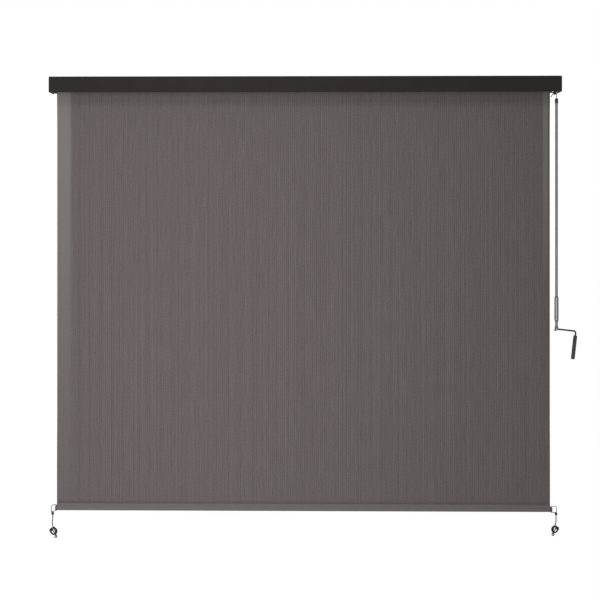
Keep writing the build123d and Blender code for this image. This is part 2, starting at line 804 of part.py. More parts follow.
# Crank arm: one bent rod from a flat eye in the fork to the spindle inside the grip
droop = radians(arm_droop)
crank_plane = Plane(
    origin=(pole_x, crank_y, knuckle_z),
    x_dir=(cos(droop), 0, -sin(droop)),
    z_dir=(0, -1, 0),
)
spindle_end = -(spindle_drop + grip_length - 12.0)
with BuildPart() as crank_arm:
    with BuildSketch(crank_plane.offset(-tongue_half)):
        Circle(6.0)
        with Locations((7.0, 0)):
            Rectangle(12.0, 8.0)
    extrude(amount=2 * tongue_half)
    with BuildSketch(crank_plane.offset(-8)):
        Circle(knuckle_pin_radius + running_gap)
    extrude(amount=16, mode=Mode.SUBTRACT)
    with BuildLine(crank_plane) as arm_path:
        FilletPolyline((10.0, 0), (arm_length, 0), (arm_length, -spindle_drop), radius=arm_bend)
    with BuildSketch(Plane(crank_plane.from_local_coords((10, 0, 0)), z_dir=crank_plane.x_dir)):
        Circle(arm_radius)
    sweep(path=arm_path.wire())
    spindle_top = crank_plane.from_local_coords((arm_length, -spindle_drop, 0))
    with BuildSketch(Plane(spindle_top, z_dir=-crank_plane.y_dir)):
        Circle(spindle_radius)
    extrude(amount=-spindle_end - spindle_drop)
crank_arm.part.label = "crank_arm"
export_step(crank_arm.part, "parts/crank_arm.step")

# Push-on retainer at the end of the spindle
retainer_top = crank_plane.from_local_coords((arm_length, spindle_end + 4.0, 0))
with BuildPart() as grip_retainer:
    with BuildSketch(Plane(retainer_top, z_dir=-crank_plane.y_dir)):
        Circle(5.6)
        Circle(spindle_radius, mode=Mode.SUBTRACT)
    extrude(amount=1.6)
grip_retainer.part.label = "grip_retainer"
export_step(grip_retainer.part, "parts/grip_retainer.step")

# Fluted grip, open below over the retainer and closed there by a cap
grip_top = crank_plane.from_local_coords((arm_length, -spindle_drop - 0.4, 0))
grip_plane = Plane(grip_top, z_dir=-crank_plane.y_dir)
bore_depth = -spindle_end - spindle_drop - 4.5
with BuildPart() as crank_grip:
    with BuildSketch(grip_plane):
        Circle(grip_radius)
        with PolarLocations(grip_radius + 0.5, flute_count):
            Circle(flute_radius, mode=Mode.SUBTRACT)
    extrude(amount=grip_length - grip_cap_height)
    with BuildSketch(grip_plane):
        Circle(spindle_radius + 0.1)
    extrude(amount=grip_length, mode=Mode.SUBTRACT)
    with BuildSketch(grip_plane.offset(bore_depth)):
        Circle(cap_bore)
    extrude(amount=20, mode=Mode.SUBTRACT)
crank_grip.part.label = "crank_grip"
export_step(crank_grip.part, "parts/crank_grip.step")

with BuildPart() as grip_cap:
    with BuildSketch(grip_plane.offset(grip_length - grip_cap_height)):
        Circle(grip_radius)
    extrude(amount=grip_cap_height)
    fillet(edges().filter_by(GeomType.CIRCLE).sort_by(Axis.Z)[0], 1.4)
    with BuildSketch(grip_plane.offset(grip_length - grip_cap_height)):
        Circle(cap_bore)
    extrude(amount=-4.0)
grip_cap.part.label = "grip_cap"
export_step(grip_cap.part, "parts/grip_cap.step")

# Fabric panel: one sheet with a welded pocket round the hem tube
with BuildPart() as fabric_panel:
    with BuildSketch(section_plane(fabric_left)):
        for radius, apex_z, apex_radius, mode in [
            (hem_radius + pocket_gap + fabric_thickness, hem_stitch, fabric_thickness, Mode.ADD),
            (hem_radius + pocket_gap, hem_stitch - 4.0, 0.2, Mode.SUBTRACT),
        ]:
            reach = hem_z - apex_z
            turn = acos((radius - apex_radius) / abs(reach))
            dy, dz = sin(turn), cos(turn)
            with BuildLine():
                right_side = Line(
                    (fabric_y + radius * dy, hem_z + radius * dz),
                    (fabric_y + apex_radius * dy, apex_z + apex_radius * dz),
                )
                left_side = Line(
                    (fabric_y - apex_radius * dy, apex_z + apex_radius * dz),
                    (fabric_y - radius * dy, hem_z + radius * dz),
                )
                ThreePointArc(right_side @ 1, (fabric_y, apex_z + apex_radius), left_side @ 0)
                ThreePointArc(left_side @ 1, (fabric_y, hem_z - radius), right_side @ 0)
            make_face(mode=mode)
        with Locations((fabric_y, (fabric_top + hem_stitch) / 2)):
            Rectangle(fabric_thickness, fabric_top - hem_stitch)
    extrude(amount=fabric_right - fabric_left)
fabric_panel.part.label = "fabric_panel"
export_step(fabric_panel.part, "parts/fabric_panel.step")

# Hem tube, as long as the fabric is wide
hem_bore = hem_radius - hem_wall
with BuildPart() as hem_tube:
    with BuildSketch(section_plane(fabric_left)):
        with Locations((fabric_y, hem_z)):
            Circle(hem_radius)
            Circle(hem_bore, mode=Mode.SUBTRACT)
    extrude(amount=fabric_right - fabric_left)
hem_tube.part.label = "hem_tube"
export_step(hem_tube.part, "parts/hem_tube.step")


def tie_down(side, name, fabric_edge, cap_thick, swivel, cord_points, coil, end_point):
    """Hem cap, ring, hook, ferrule, cord, coil, band and end ring at one end of the hem."""
    leg_x = fabric_edge + side * cap_thick / 2

    # Hem cap: a disc proud of the fabric, with an upright hole for the tie ring
    with BuildPart() as hem_cap:
        with BuildSketch(section_plane(fabric_edge)):
            with Locations((fabric_y, hem_z)):
                Circle(hem_bore - 0.02)
        extrude(amount=-side * 22.0)
        with BuildSketch(section_plane(fabric_edge)):
            with Locations((fabric_y, hem_z)):
                Circle(hem_radius + pocket_gap + fabric_thickness)
        extrude(amount=side * cap_thick)
        fillet(faces().sort_by(Axis.X)[-1 if side > 0 else 0].edges(), 1.5)
        with BuildSketch(Plane.XY.offset(hem_z - 20)):
            with Locations((leg_x, fabric_y)):
                Circle(ring_wire + running_gap)
        extrude(amount=40, mode=Mode.SUBTRACT)
    hem_cap.part.label = f"hem_cap_{name}"
    export_step(hem_cap.part, f"parts/hem_cap_{name}.step")

    # Tie ring: a closed D of steel wire whose straight leg runs down through the cap
    out = (side * cos(swivel), -sin(swivel), 0)
    ring_plane = Plane(
        origin=(leg_x, fabric_y, hem_z), x_dir=out, z_dir=Vector(*out).cross(Vector(0, 0, 1))
    )
    with BuildPart() as tie_ring:
        with BuildLine(ring_plane) as ring_path:
            FilletPolyline(
                (0, ring_low),
                (ring_width, ring_low),
                (ring_width, ring_high),
                (0, ring_high),
                radius=[2.6, 3.0, 8.0, 2.6],
                close=True,
            )
        loop = ring_path.wire()
        with BuildSketch(Plane(loop @ 0.0, z_dir=loop % 0.0)):
            Circle(ring_wire)
        sweep(path=loop)
    tie_ring.part.label = f"tie_ring_{name}"
    export_step(tie_ring.part, f"parts/tie_ring_{name}.step")

    # Wire hook over the ring's lower bar, its long leg in front
    crown = ring_low + ring_wire + tie_wire + 0.15
    bar = ring_plane.from_local_coords((ring_width - 4.2, crown - tie_bend, 0))
    front = Vector(-abs(ring_plane.z_dir.Y) / ring_plane.z_dir.Y * ring_plane.z_dir)
    hook_plane = Plane(origin=bar, x_dir=front, z_dir=front.cross(Vector(0, 0, 1)))
    tie_point = hook_plane.from_local_coords((tie_bend, 0, 0))
    tie_x, tie_y = tie_point.X, tie_point.Y
    ferrule_z = cord_points[0][1]
    ball_z = ferrule_z + ball_rise
    with BuildPart() as tie_hook:
        foot = ball_z - 4.0 - bar.Z
        with BuildLine(hook_plane) as hook_line:
            Line((tie_bend, foot), (tie_bend, 0))
            CenterArc((0, 0), tie_bend, 0, 180)
            Line((-tie_bend, 0), (-tie_bend, -4.0))
        foot_point = hook_plane.from_local_coords((tie_bend, foot, 0))
        with BuildSketch(Plane(foot_point, z_dir=(0, 0, 1))):
            Circle(tie_wire)
        sweep(path=hook_line.wire())
        with Locations(hook_plane.from_local_coords((-tie_bend, -4.0, 0))):
            Sphere(tie_wire)
    tie_hook.part.label = f"tie_hook_{name}"
    export_step(tie_hook.part, f"parts/tie_hook_{name}.step")

    # Ball-ended ferrule moulded over the hook's foot and the cord's end
    with BuildPart() as tie_ferrule:
        with BuildSketch(front_plane(tie_y)):
            with BuildLine():
                ball = CenterArc((tie_x, ball_z), ball_radius, -30, 110)
                Polyline(
                    ball @ 0,
                    (tie_x + 3.4, ferrule_z),
                    (tie_x, ferrule_z),
                    (tie_x, ball_z + ball_radius * sin(radians(80))),
                    ball @ 1,
                )
            make_face()
        revolve(axis=Axis((tie_x, tie_y, 0), (0, 0, 1)))
        add(tie_hook.part, mode=Mode.SUBTRACT)
    tie_ferrule.part.label = f"tie_ferrule_{name}"
    export_step(tie_ferrule.part, f"parts/tie_ferrule_{name}.step")

    # Hanging cord: straight runs joined by the largest arcs that they allow
    route = [(tie_x, ferrule_z), (tie_x, cord_points[1][1])] + cord_points[2:]
    radii = []
    for before, here, after in zip(route, route[1:], route[2:]):
        first = atan2(here[1] - before[1], here[0] - before[0])
        second = atan2(after[1] - here[1], after[0] - here[0])
        shorter = min(hypot(here[0] - before[0], here[1] - before[1]),
                      hypot(after[0] - here[0], after[1] - here[1]))
        radii.append(0.45 * shorter / tan(abs(second - first) / 2))
    with BuildPart() as tie_cord:
        with BuildLine(front_plane(tie_y)) as cord_path:
            FilletPolyline(*route, radius=radii)
        line = cord_path.wire()
        with BuildSketch(Plane(line @ 0, z_dir=line % 0)):
            Circle(cord_radius)
        sweep(path=line)
    section = pi * cord_radius**2
    print(f"tie_cord_{name}: radii", [round(radius, 1) for radius in radii])
    print(f"tie_cord_{name}: volume over section times length",
          round(tie_cord.part.volume / (section * line.length), 4))
    tie_cord.part.label = f"tie_cord_{name}"
    export_step(tie_cord.part, f"parts/tie_cord_{name}.step")

    # Coil: the outer shape of the fanned loops of spare cord
    centre_x, centre_z, wide, tall, tilt, hole_x, hole_z = coil
    thick = (coil_turns - 1) * turn_pitch + 2 * cord_radius
    with BuildPart() as tie_coil:
        with BuildSketch(front_plane(tie_y)):
            with Locations((centre_x, centre_z)):
                Ellipse(wide / 2, tall / 2, rotation=tilt)
            with Locations((centre_x + hole_x, centre_z + hole_z)):
                Ellipse(wide / 2 - 11.0, tall / 2 - 11.0, rotation=tilt, mode=Mode.SUBTRACT)
        extrude(amount=thick / 2, both=True)
        chamfer(edges().filter_by(GeomType.ELLIPSE), 1.8)
    tie_coil.part.label = f"tie_coil_{name}"
    export_step(tie_coil.part, f"parts/tie_coil_{name}.step")

    # Band that holds the loops together at their outer side
    band_x = centre_x + side * (wide / 2 - 5.0)
    with BuildPart() as tie_band:
        with BuildSketch(Plane.XY.offset(centre_z - 2.0)):
            with Locations((band_x, tie_y)):
                RectangleRounded(15.0, thick + 3.0, 4.0)
        extrude(amount=10.0)
        add(tie_coil.part, mode=Mode.SUBTRACT)
    tie_band.part.label = f"tie_band_{name}"
    export_step(tie_band.part, f"parts/tie_band_{name}.step")

    # Small moulded end ring on the cord's far end, its neck up against the coil
    with BuildPart() as tie_end:
        with Locations(Location((end_point[0], tie_y, end_point[1]), (90, 0, 0))):
            Torus(end_major, end_minor)
        with BuildSketch(Plane.XY.offset(end_point[1] + end_major)):
            with Locations((end_point[0], tie_y)):
                Circle(2.8)
        extrude(amount=9.0)
        add(tie_coil.part, mode=Mode.SUBTRACT)
    tie_end.part.label = f"tie_end_{name}"
    export_step(tie_end.part, f"parts/tie_end_{name}.step")


tie_down(
    -1, "left", fabric_left, 7.0, radians(40),
    [(0, -2066.0), (0, -2083.0), (-1214.0, -2101.0), (-1209.5, -2120.2)],
    (-1206.0, -2141.0, 38.0, 42.0, 20.0, 2.0, -2.0), (-1196.5, -2168.5),
)
tie_down(
    1, "right", fabric_right, 9.5, 0.0,
    [(0, -2063.0), (0, -2077.0), (1203.4, -2092.0), (1200.6, -2106.6)],
    (1198.0, -2127.0, 37.0, 40.0, -20.0, -2.0, -2.0), (1190.0, -2153.0),
)
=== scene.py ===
import json
import math
import bpy
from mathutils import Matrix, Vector


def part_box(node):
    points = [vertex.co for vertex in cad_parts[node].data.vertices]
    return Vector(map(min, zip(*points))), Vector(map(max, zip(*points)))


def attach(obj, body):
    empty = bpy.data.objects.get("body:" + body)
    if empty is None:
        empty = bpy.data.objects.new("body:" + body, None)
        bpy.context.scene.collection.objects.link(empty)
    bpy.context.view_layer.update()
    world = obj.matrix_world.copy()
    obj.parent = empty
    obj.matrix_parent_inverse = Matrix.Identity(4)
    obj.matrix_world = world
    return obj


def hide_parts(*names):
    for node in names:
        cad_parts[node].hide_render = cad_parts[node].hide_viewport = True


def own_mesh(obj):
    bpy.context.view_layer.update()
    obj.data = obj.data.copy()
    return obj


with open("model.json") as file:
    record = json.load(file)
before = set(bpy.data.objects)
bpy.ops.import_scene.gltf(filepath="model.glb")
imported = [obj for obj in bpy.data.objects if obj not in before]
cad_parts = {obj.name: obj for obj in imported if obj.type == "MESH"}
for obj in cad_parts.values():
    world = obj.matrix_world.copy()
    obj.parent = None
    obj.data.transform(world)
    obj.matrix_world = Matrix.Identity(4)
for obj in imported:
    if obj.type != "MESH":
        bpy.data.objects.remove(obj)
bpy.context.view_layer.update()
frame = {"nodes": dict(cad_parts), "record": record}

nodes = frame["nodes"]

# camera: level, a little to the right of the middle and turned slightly to the left
cameraLook = {
    "lens": 61.94,  # on a 36 mm sensor
    "place": (0.0436, -4.99, -0.647),
    "turn": 0.76,  # degrees to the left, so the right end is a little nearer
    "shift": -0.1333,
}
cameraData = bpy.data.cameras.new("viewCamera")
cameraData.lens = cameraLook["lens"]
cameraData.sensor_width = 36
cameraData.shift_y = cameraLook["shift"]
cameraData.clip_end = 200
viewCamera = bpy.data.objects.new("viewCamera", cameraData)
viewCamera.location = cameraLook["place"]
viewCamera.rotation_euler = (math.radians(90), 0, math.radians(cameraLook["turn"]))
bpy.context.scene.collection.objects.link(viewCamera)
bpy.context.scene.camera = viewCamera
bpy.context.scene.view_settings.view_transform = "Standard"


def makePiece(name, mesh, finish=None):
    piece = bpy.data.objects.new(name, mesh)
    bpy.context.scene.collection.objects.link(piece)
    if finish:
        mesh.materials.append(finish)
    return piece


def settle(piece):
    # turns a piece with live modifiers into a plain mesh
    depsgraph = bpy.context.evaluated_depsgraph_get()
    result = bpy.data.meshes.new_from_object(piece.evaluated_get(depsgraph))
    piece.modifiers.clear()
    piece.data = result
    return piece


def smooth(piece):
    piece.data.polygons.foreach_set("use_smooth", [True] * len(piece.data.polygons))
    return piece


def smoothStep(value):
    value = min(max(value, 0.0), 1.0)
    return value * value * (3 - 2 * value)


def gridMesh(name, columns, rows, place, closed=False):
    # place(i, j) gives a point and its UV; closed joins the last row to the first
    mesh = bpy.data.meshes.new(name)
    spots = [[place(i, j) for j in range(rows + 1)] for i in range(columns + 1)]
    ring = rows if closed else rows + 1
    points = [spots[i][j][0] for i in range(columns + 1) for j in range(ring)]
    faces, corners = [], []
    for i in range(columns):
        for j in range(rows):
            near, far = i * ring, (i + 1) * ring
            after = (j + 1) % ring
            faces.append((near + j, far + j, far + after, near + after))
            around = ((i, j), (i + 1, j), (i + 1, j + 1), (i, j + 1))
            corners += [spots[column][row][1] for column, row in around]
    mesh.from_pydata(points, [], faces)
    layer = mesh.uv_layers.new(name="UVMap")
    layer.data.foreach_set("uv", [value for corner in corners for value in corner])
    return mesh


def thicken(piece, thickness):
    solid = piece.modifiers.new("thickness", "SOLIDIFY")
    solid.thickness = thickness
    solid.offset = 0
    return smooth(settle(piece))


def addNode(tree, kind, **inputs):
    node = tree.nodes.new(kind)
    for label, value in inputs.items():
        socket = node.inputs[label.replace("_", " ")]
        if isinstance(value, bpy.types.NodeSocket):
            tree.links.new(value, socket)
        else:
            socket.default_value = value
    return node


def mixColours(tree, factor, first, second, blend="MIX"):
    node = tree.nodes.new("ShaderNodeMix")
    node.data_type = "RGBA"
    node.blend_type = blend
    sockets = (node.inputs[0], node.inputs[6], node.inputs[7])
    for socket, value in zip(sockets, (factor, first, second)):
        if isinstance(value, bpy.types.NodeSocket):
            tree.links.new(value, socket)
        else:
            socket.default_value = value if isinstance(value, float) else (*value, 1)
    return node.outputs[2]


def mapRange(tree, value, low, high, toLow, toHigh):
    node = addNode(tree, "ShaderNodeMapRange", Value=value)
    node.inputs["From Min"].default_value = low
    node.inputs["From Max"].default_value = high
    node.inputs["To Min"].default_value = toLow
    node.inputs["To Max"].default_value = toHigh
    return node.outputs[0]


def mathNode(tree, operation, first, second=0.0):
    node = tree.nodes.new("ShaderNodeMath")
    node.operation = operation
    for socket, value in zip(node.inputs, (first, second)):
        if isinstance(value, bpy.types.NodeSocket):
            tree.links.new(value, socket)
        else:
            socket.default_value = value
    return node.outputs[0]


def startFinish(name, look):
    finish = bpy.data.materials.new(name)
    finish.use_nodes = True
    shader = finish.node_tree.nodes["Principled BSDF"]
    for socket, key in (
        ("Metallic", "metal"), ("Specular IOR Level", "specular"),
        ("Sheen Weight", "sheen"), ("Sheen Roughness", "sheenRough"),
    ):
        if key in look:
            shader.inputs[socket].default_value = look[key]
    return finish, finish.node_tree, shader


def mappedCoords(tree, stretch):
    coords = tree.nodes.new("ShaderNodeTexCoord").outputs["Object"]
    return addNode(tree, "ShaderNodeMapping", Vector=coords, Scale=stretch).outputs[0]


def paint(tree, shader, colour, rough, height, strength, depth):
    # joins a finish's colour, roughness and bump to its shader
    tree.links.new(colour, shader.inputs["Base Color"])
    tree.links.new(rough, shader.inputs["Roughness"])
    bump = addNode(tree, "ShaderNodeBump", Strength=strength, Distance=depth, Height=height)
    tree.links.new(bump.outputs[0], shader.inputs["Normal"])


grainMix = {
    "patchShare": 0.6,
    "grainShare": 0.4,
    "toneRange": (0.35, 0.65),  # of the noise, spread over the two tones
    "roughRange": (0.3, 0.7),
}


def grainFinish(name, look):
    # paint, moulded plastic or drawn metal: a slow patchy tone, a fine grain and a bump
    finish, tree, shader = startFinish(name, look)
    place = mappedCoords(tree, look.get("stretch", (1, 1, 1)))
    patch = addNode(tree, "ShaderNodeTexNoise", Vector=place, Scale=look["patch"], Detail=3.0)
    grain = addNode(tree, "ShaderNodeTexNoise", Vector=place, Scale=look["grain"], Detail=4.0)
    both = mathNode(tree, "ADD",
                    mathNode(tree, "MULTIPLY", patch.outputs[0], grainMix["patchShare"]),
                    mathNode(tree, "MULTIPLY", grain.outputs[0], grainMix["grainShare"]))
    tone = mapRange(tree, both, *grainMix["toneRange"], 0.0, 1.0)
    colour = mixColours(tree, tone, look["colour"], look["shade"])
    rough = mapRange(tree, grain.outputs[0], *grainMix["roughRange"], *look["rough"])
    paint(tree, shader, colour, rough, grain.outputs[0], look["bump"], look["depth"])
    return finish


def spangleFinish(name, look):
    # zinc plating: small crystal facets of slightly different tone
    finish, tree, shader = startFinish(name, look)
    place = mappedCoords(tree, (1, 1, 1))
    cells = addNode(tree, "ShaderNodeTexVoronoi", Vector=place, Scale=look["cells"])
    tone = addNode(tree, "ShaderNodeSeparateColor", Color=cells.outputs["Color"]).outputs[0]
    colour = mixColours(tree, tone, look["colour"], look["shade"])
    rough = mapRange(tree, tone, 0.0, 1.0, *look["rough"])
    grain = addNode(tree, "ShaderNodeTexNoise", Vector=place, Scale=look["grain"], Detail=3.0)
    paint(tree, shader, colour, rough, grain.outputs[0], look["bump"], look["depth"])
    return finish


# shade cloth: a knit of two close tones, with lighter bands along the sides and at the hem; these
# bands are painted light, along the sides for the light that the curled margins catch and at the
# hem to lift the shade of the pocket's turn
clothLook = {
    "colour": (0.1775, 0.1540, 0.1480),
    "shade": (0.0895, 0.0778, 0.0745),
    # painted light: the lighter tone of the side margins, standing for the light that the curled
    # cloth catches
    "paintedEdgeLight": (0.201, 0.190, 0.180),
    "edgeLine": (0.080, 0.074, 0.071),
    # painted light: the pocket's lighter tone lifts the shade of the cloth's turn round the hem
    # tube
    "hem": (0.156, 0.146, 0.142),
    "specular": 0.15,
    "sheen": 0.12,
    "sheenRough": 0.5,
    "wale": 0.0016,  # width of one knitted rib
    "waleBend": 0.3,
    "course": 0.0013,  # height of one loop
    "courseBend": 0.6,
    "knitTone": ((0.90, 0.90, 0.90), (1.06, 1.06, 1.06)),  # between the loops and on them
    "rough": (0.95, 0.82),
    "bump": 0.35,
    "depth": 0.0004,
    "rib": 0.0096,  # coarser ribs that read as fine stripes from a few metres
    "ribShare": 0.085,
    # long streaks, short streaks and speckle: share of the tone, stretch and detail
    "grain": ((0.26, (200, 0.4, 1), 2.0), (0.24, (200, 8, 1), 2.0), (0.50, (190, 190, 1), 2.0)),
    "toneSpread": 0.18,  # either side of the grain's middle, from one tone to the other
}


def bandTexture(tree, coords, axis, period, bend):
    # at scale 1 a wave texture has twenty bands in two pi metres
    scale = 2 * math.pi / 20 / period
    wave = addNode(tree, "ShaderNodeTexWave", Vector=coords, Scale=scale, Distortion=bend,
                   Detail=1.0)
    wave.bands_direction = axis
    return wave.outputs["Fac"]


def clothFinish(name, look):
    finish, tree, shader = startFinish(name, look)
    coords = tree.nodes.new("ShaderNodeTexCoord").outputs["UV"]
    ribs = bandTexture(tree, coords, "X", look["rib"], 0.0)
    tone = mathNode(tree, "MULTIPLY", ribs, look["ribShare"])
    middle = look["ribShare"] / 2
    for share, stretch, detail in look["grain"]:
        place = addNode(tree, "ShaderNodeMapping", Vector=coords, Scale=stretch).outputs[0]
        noise = addNode(tree, "ShaderNodeTexNoise", Vector=place, Scale=1.0, Detail=detail)
        tone = mathNode(tree, "ADD", tone, mathNode(tree, "MULTIPLY", noise.outputs[0], share))
        middle += share / 2
    spread = look["toneSpread"]
    tone = mapRange(tree, tone, middle - spread, middle + spread, 0.0, 1.0)
    base = mixColours(tree, tone, look["colour"], look["shade"])
    # the painted light of the side margins and of the pocket is mixed in here, with the dark line
    # at the right
    for key in ("paintedEdgeLight", "edgeLine", "hem"):
        mark = tree.nodes.new("ShaderNodeAttribute")
        mark.attribute_name = key
        base = mixColours(tree, mark.outputs["Fac"], base, look[key])
    wale = bandTexture(tree, coords, "X", look["wale"], look["waleBend"])
    course = bandTexture(tree, coords, "Y", look["course"], look["courseBend"])
    loops = mathNode(tree, "ADD", 0.5, mathNode(tree, "MULTIPLY", course, 0.5))
    knit = mathNode(tree, "MULTIPLY", wale, loops)
    colour = mixColours(tree, 1.0, base, mixColours(tree, knit, *look["knitTone"]), "MULTIPLY")
    rough = mapRange(tree, knit, 0.0, 1.0, *look["rough"])
    paint(tree, shader, colour, rough, knit, look["bump"], look["depth"])
    return finish


shadeCloth = clothFinish("shadeCloth", clothLook)

panelBox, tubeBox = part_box("fabric_panel"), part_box("hem_tube")
clothLeft, clothRight = panelBox[0].x, panelBox[1].x
clothWidth = clothRight - clothLeft
clothTop = panelBox[1].z
clothY = (panelBox[0].y + panelBox[1].y) / 2
hemZ = (tubeBox[0].z + tubeBox[1].z) / 2
hemRadius = (tubeBox[1].z - tubeBox[0].z) / 2

panel = {
    "stitch": -2.013,  # height of the hem's seam
    "thick": 0.0006,
    "margin": 0.067,  # the band along each side that curls back
    "curl": 0.0035,
    "curlLoss": 0.45,  # share of the curl that is gone at the bottom
    "ripple": 0.001,
    # slow waves across the sheet: share, waves across, lean down the sheet, start
    "waves": ((1.0, 5.1, 0.0, 0.7), (0.6, 11.3, 2.0, 2.1), (0.3, 23.0, 0.0, 0.0)),
    "lift": 1.3,  # keeps nearly all of the ripple behind the sheet's plane
    "still": 0.09,  # share of the length above the seam that stays flat
    "topEase": 9.0,  # how fast the ripple grows below the roll
    "seamEase": 8.0,
    "columns": 150,
    "rows": 84,
    "edgeColumns": 0.22,  # share of the columns in each margin
    "edgeReach": 1.25,  # their width, in margins
}
panelLength = clothTop - panel["stitch"]


def acrossAt(i, columns):
    # more columns in the curled margins than in the flat middle
    share = i / columns
    edge = panel["edgeColumns"]
    reach = panel["margin"] * panel["edgeReach"] / clothWidth
    if share < edge:
        return clothLeft + clothWidth * reach * share / edge
    if share > 1 - edge:
        return clothRight - clothWidth * reach * (1 - share) / edge
    return clothLeft + clothWidth * (reach + (1 - 2 * reach) * (share - edge) / (1 - 2 * edge))


def panelDepth(x, down):
    # how far the hanging sheet stands back from its plane: nothing at the roll, nor by the seam,
    # where the raised sheet's folds would run into the stitches
    side = min(x - clothLeft, clothRight - x)
    free = smoothStep(down * panel["topEase"])
    free *= smoothStep((1 - down - panel["still"]) * panel["seamEase"])
    curl = panel["curl"] * max(0.0, 1 - side / panel["margin"]) ** 2
    wave = sum(share * math.sin(x * across + down * lean + start)
               for share, across, lean, start in panel["waves"])
    return free * (curl * (1 - panel["curlLoss"] * down) + panel["ripple"] * (wave + panel["lift"]))


def panelSpot(i, j):
    x = acrossAt(i, panel["columns"])
    down = j / panel["rows"]
    z = clothTop - panelLength * down
    return (x, clothY + panelDepth(x, down), z), (x - clothLeft, z)


# the side bands here are painted light on the curled margins, lightest at the top and fading down
# the sheet
edgeBands = {
    "leftWidth": 0.067,
    "leftBlur": (0.020, 0.035),  # at the top, and what is added to it at the bottom
    "leftLoss": 0.85,  # share that is gone at the bottom
    "rightWidth": 0.034,
    "rightBlur": 0.012,
    "rightShare": 0.75,
    "rightFade": 1.6,
    "line": 0.003,  # the dark line's distance from the right edge
    "lineBlur": 0.005,
    "lineCore": 1.4,  # above 1, its middle is full over that much more of the blur
    "lineShare": 0.9,
    "lineLoss": 0.7,
    # where the pocket's painted light starts, and how softly it comes in
    "hemRise": 0.003,  # the hem's tone starts this far above the seam
    "hemBlur": 0.006,
}


def markMargins(mesh):
    # point values that the cloth's finish reads: the lighter bands, which are painted light on the
    # curled side margins and on the pocket, and the dark line at the right
    paintedEdgeLight, edgeLine, hem = [], [], []
    for vertex in mesh.vertices:
        left, right = vertex.co.x - clothLeft, clothRight - vertex.co.x
        down = smoothStep((clothTop - vertex.co.z) / panelLength)
        leftBlur = edgeBands["leftBlur"][0] + edgeBands["leftBlur"][1] * down
        leftBand = smoothStep((edgeBands["leftWidth"] - left) / leftBlur + 0.5)
        leftBand *= 1.0 - edgeBands["leftLoss"] * down
        rightBand = smoothStep((edgeBands["rightWidth"] - right) / edgeBands["rightBlur"] + 0.5)
        rightBand *= edgeBands["rightShare"] * (1 - smoothStep(edgeBands["rightFade"] * down))
        paintedEdgeLight.append(min(1.0, max(leftBand, rightBand)))
        away = abs(right - edgeBands["line"]) / edgeBands["lineBlur"]
        line = smoothStep(edgeBands["lineCore"] - away)
        edgeLine.append(edgeBands["lineShare"] * (1 - edgeBands["lineLoss"] * down) * line)
        above = vertex.co.z - panel["stitch"]
        hem.append(smoothStep((edgeBands["hemRise"] - above) / edgeBands["hemBlur"]))
    for key, values in (("paintedEdgeLight", paintedEdgeLight), ("edgeLine", edgeLine), ("hem", hem)):
        mesh.attributes.new(key, "FLOAT", "POINT").data.foreach_set("value", values)


def clothPiece(name, columns, rows, place):
    piece = makePiece(name, gridMesh(name, columns, rows, place), shadeCloth)
    markMargins(piece.data)
    return thicken(piece, panel["thick"])


fabricPanel = clothPiece("fabricPanel", panel["columns"], panel["rows"], panelSpot)

# the pocket: down the front, round the tube, up the back and a turned-in edge behind the seam
pocket = {
    "columns": 420,
    "gap": 0.0006,
    "backGap": 0.0008,  # from the front layer to the back one, at the seam
    "flatSteps": 5,
    "roundSteps": 18,
    "sweep": 1.4,  # how softly the front leaves the seam for the tube
    "allowance": 0.007,
    "pucker": 0.0002,
    "puckerDrop": 0.006,
    "puckerReach": 0.009,
    "puckers": ((1.0, 520, 0.0), (0.6, 233, 1.0)),  # share, waves across, start
}


def pocketProfile():
    radius = hemRadius + pocket["gap"]
    reach = panel["stitch"] - hemZ
    turn = math.acos(radius / reach)
    points = [(clothY, panel["stitch"])]
    start, end = math.pi / 2 + turn, math.pi * 2.5 - turn
    touch = (clothY + radius * math.cos(start), hemZ + radius * math.sin(start))
    for k in range(pocket["flatSteps"] - 1, 0, -1):
        share = k / pocket["flatSteps"]
        forward = (1 - share) ** pocket["sweep"]
        points.append((touch[0] * forward + clothY * (1 - forward),
                       touch[1] * (1 - share) + panel["stitch"] * share))
    for k in range(pocket["roundSteps"] + 1):
        angle = start + (end - start) * k / pocket["roundSteps"]
        points.append((clothY + radius * math.cos(angle), hemZ + radius * math.sin(angle)))
    back = points[-1]
    backY = clothY + pocket["backGap"]
    for k in range(1, pocket["flatSteps"]):
        share = k / pocket["flatSteps"]
        points.append((back[0] * (1 - share) + backY * share,
                       back[1] * (1 - share) + panel["stitch"] * share))
    points.append((backY, panel["stitch"]))
    points.append((backY, panel["stitch"] + pocket["allowance"]))
    return points


profile = pocketProfile()
travel = [0.0]  # length of cloth from the seam to each point of the profile
for before, after in zip(profile, profile[1:]):
    travel.append(travel[-1] + math.dist(before, after))


def pocketSpot(i, j):
    x = clothLeft + clothWidth * i / pocket["columns"]
    y, z = profile[j]
    below = panel["stitch"] - z
    near = smoothStep(1 - abs(below - pocket["puckerDrop"]) / pocket["puckerReach"])
    ripple = sum(share * math.sin(x * across + start) for share, across, start in pocket["puckers"])
    y -= pocket["pucker"] * near * ripple
    return (x, y, z), (x - clothLeft, panel["stitch"] - travel[j])


hemPocket = clothPiece("hemPocket", pocket["columns"], len(profile) - 1, pocketSpot)

# two turns left on the roller, drawn from where the sheet leaves it at the back
roll = {"turns": 2, "pitch": 0.0007, "columns": 12, "steps": 96}
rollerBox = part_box("roller_tube")
rollerY = (rollerBox[0].y + rollerBox[1].y) / 2
rollRadius = clothY - rollerY


def rollSpot(i, j):
    x = clothLeft + clothWidth * i / roll["columns"]
    angle = 2 * math.pi * roll["turns"] * j / roll["steps"]
    radius = rollRadius - roll["pitch"] * angle / (2 * math.pi)
    y, z = rollerY + radius * math.cos(angle), radius * math.sin(angle)
    return (x, y, z), (x - clothLeft, rollRadius * angle)


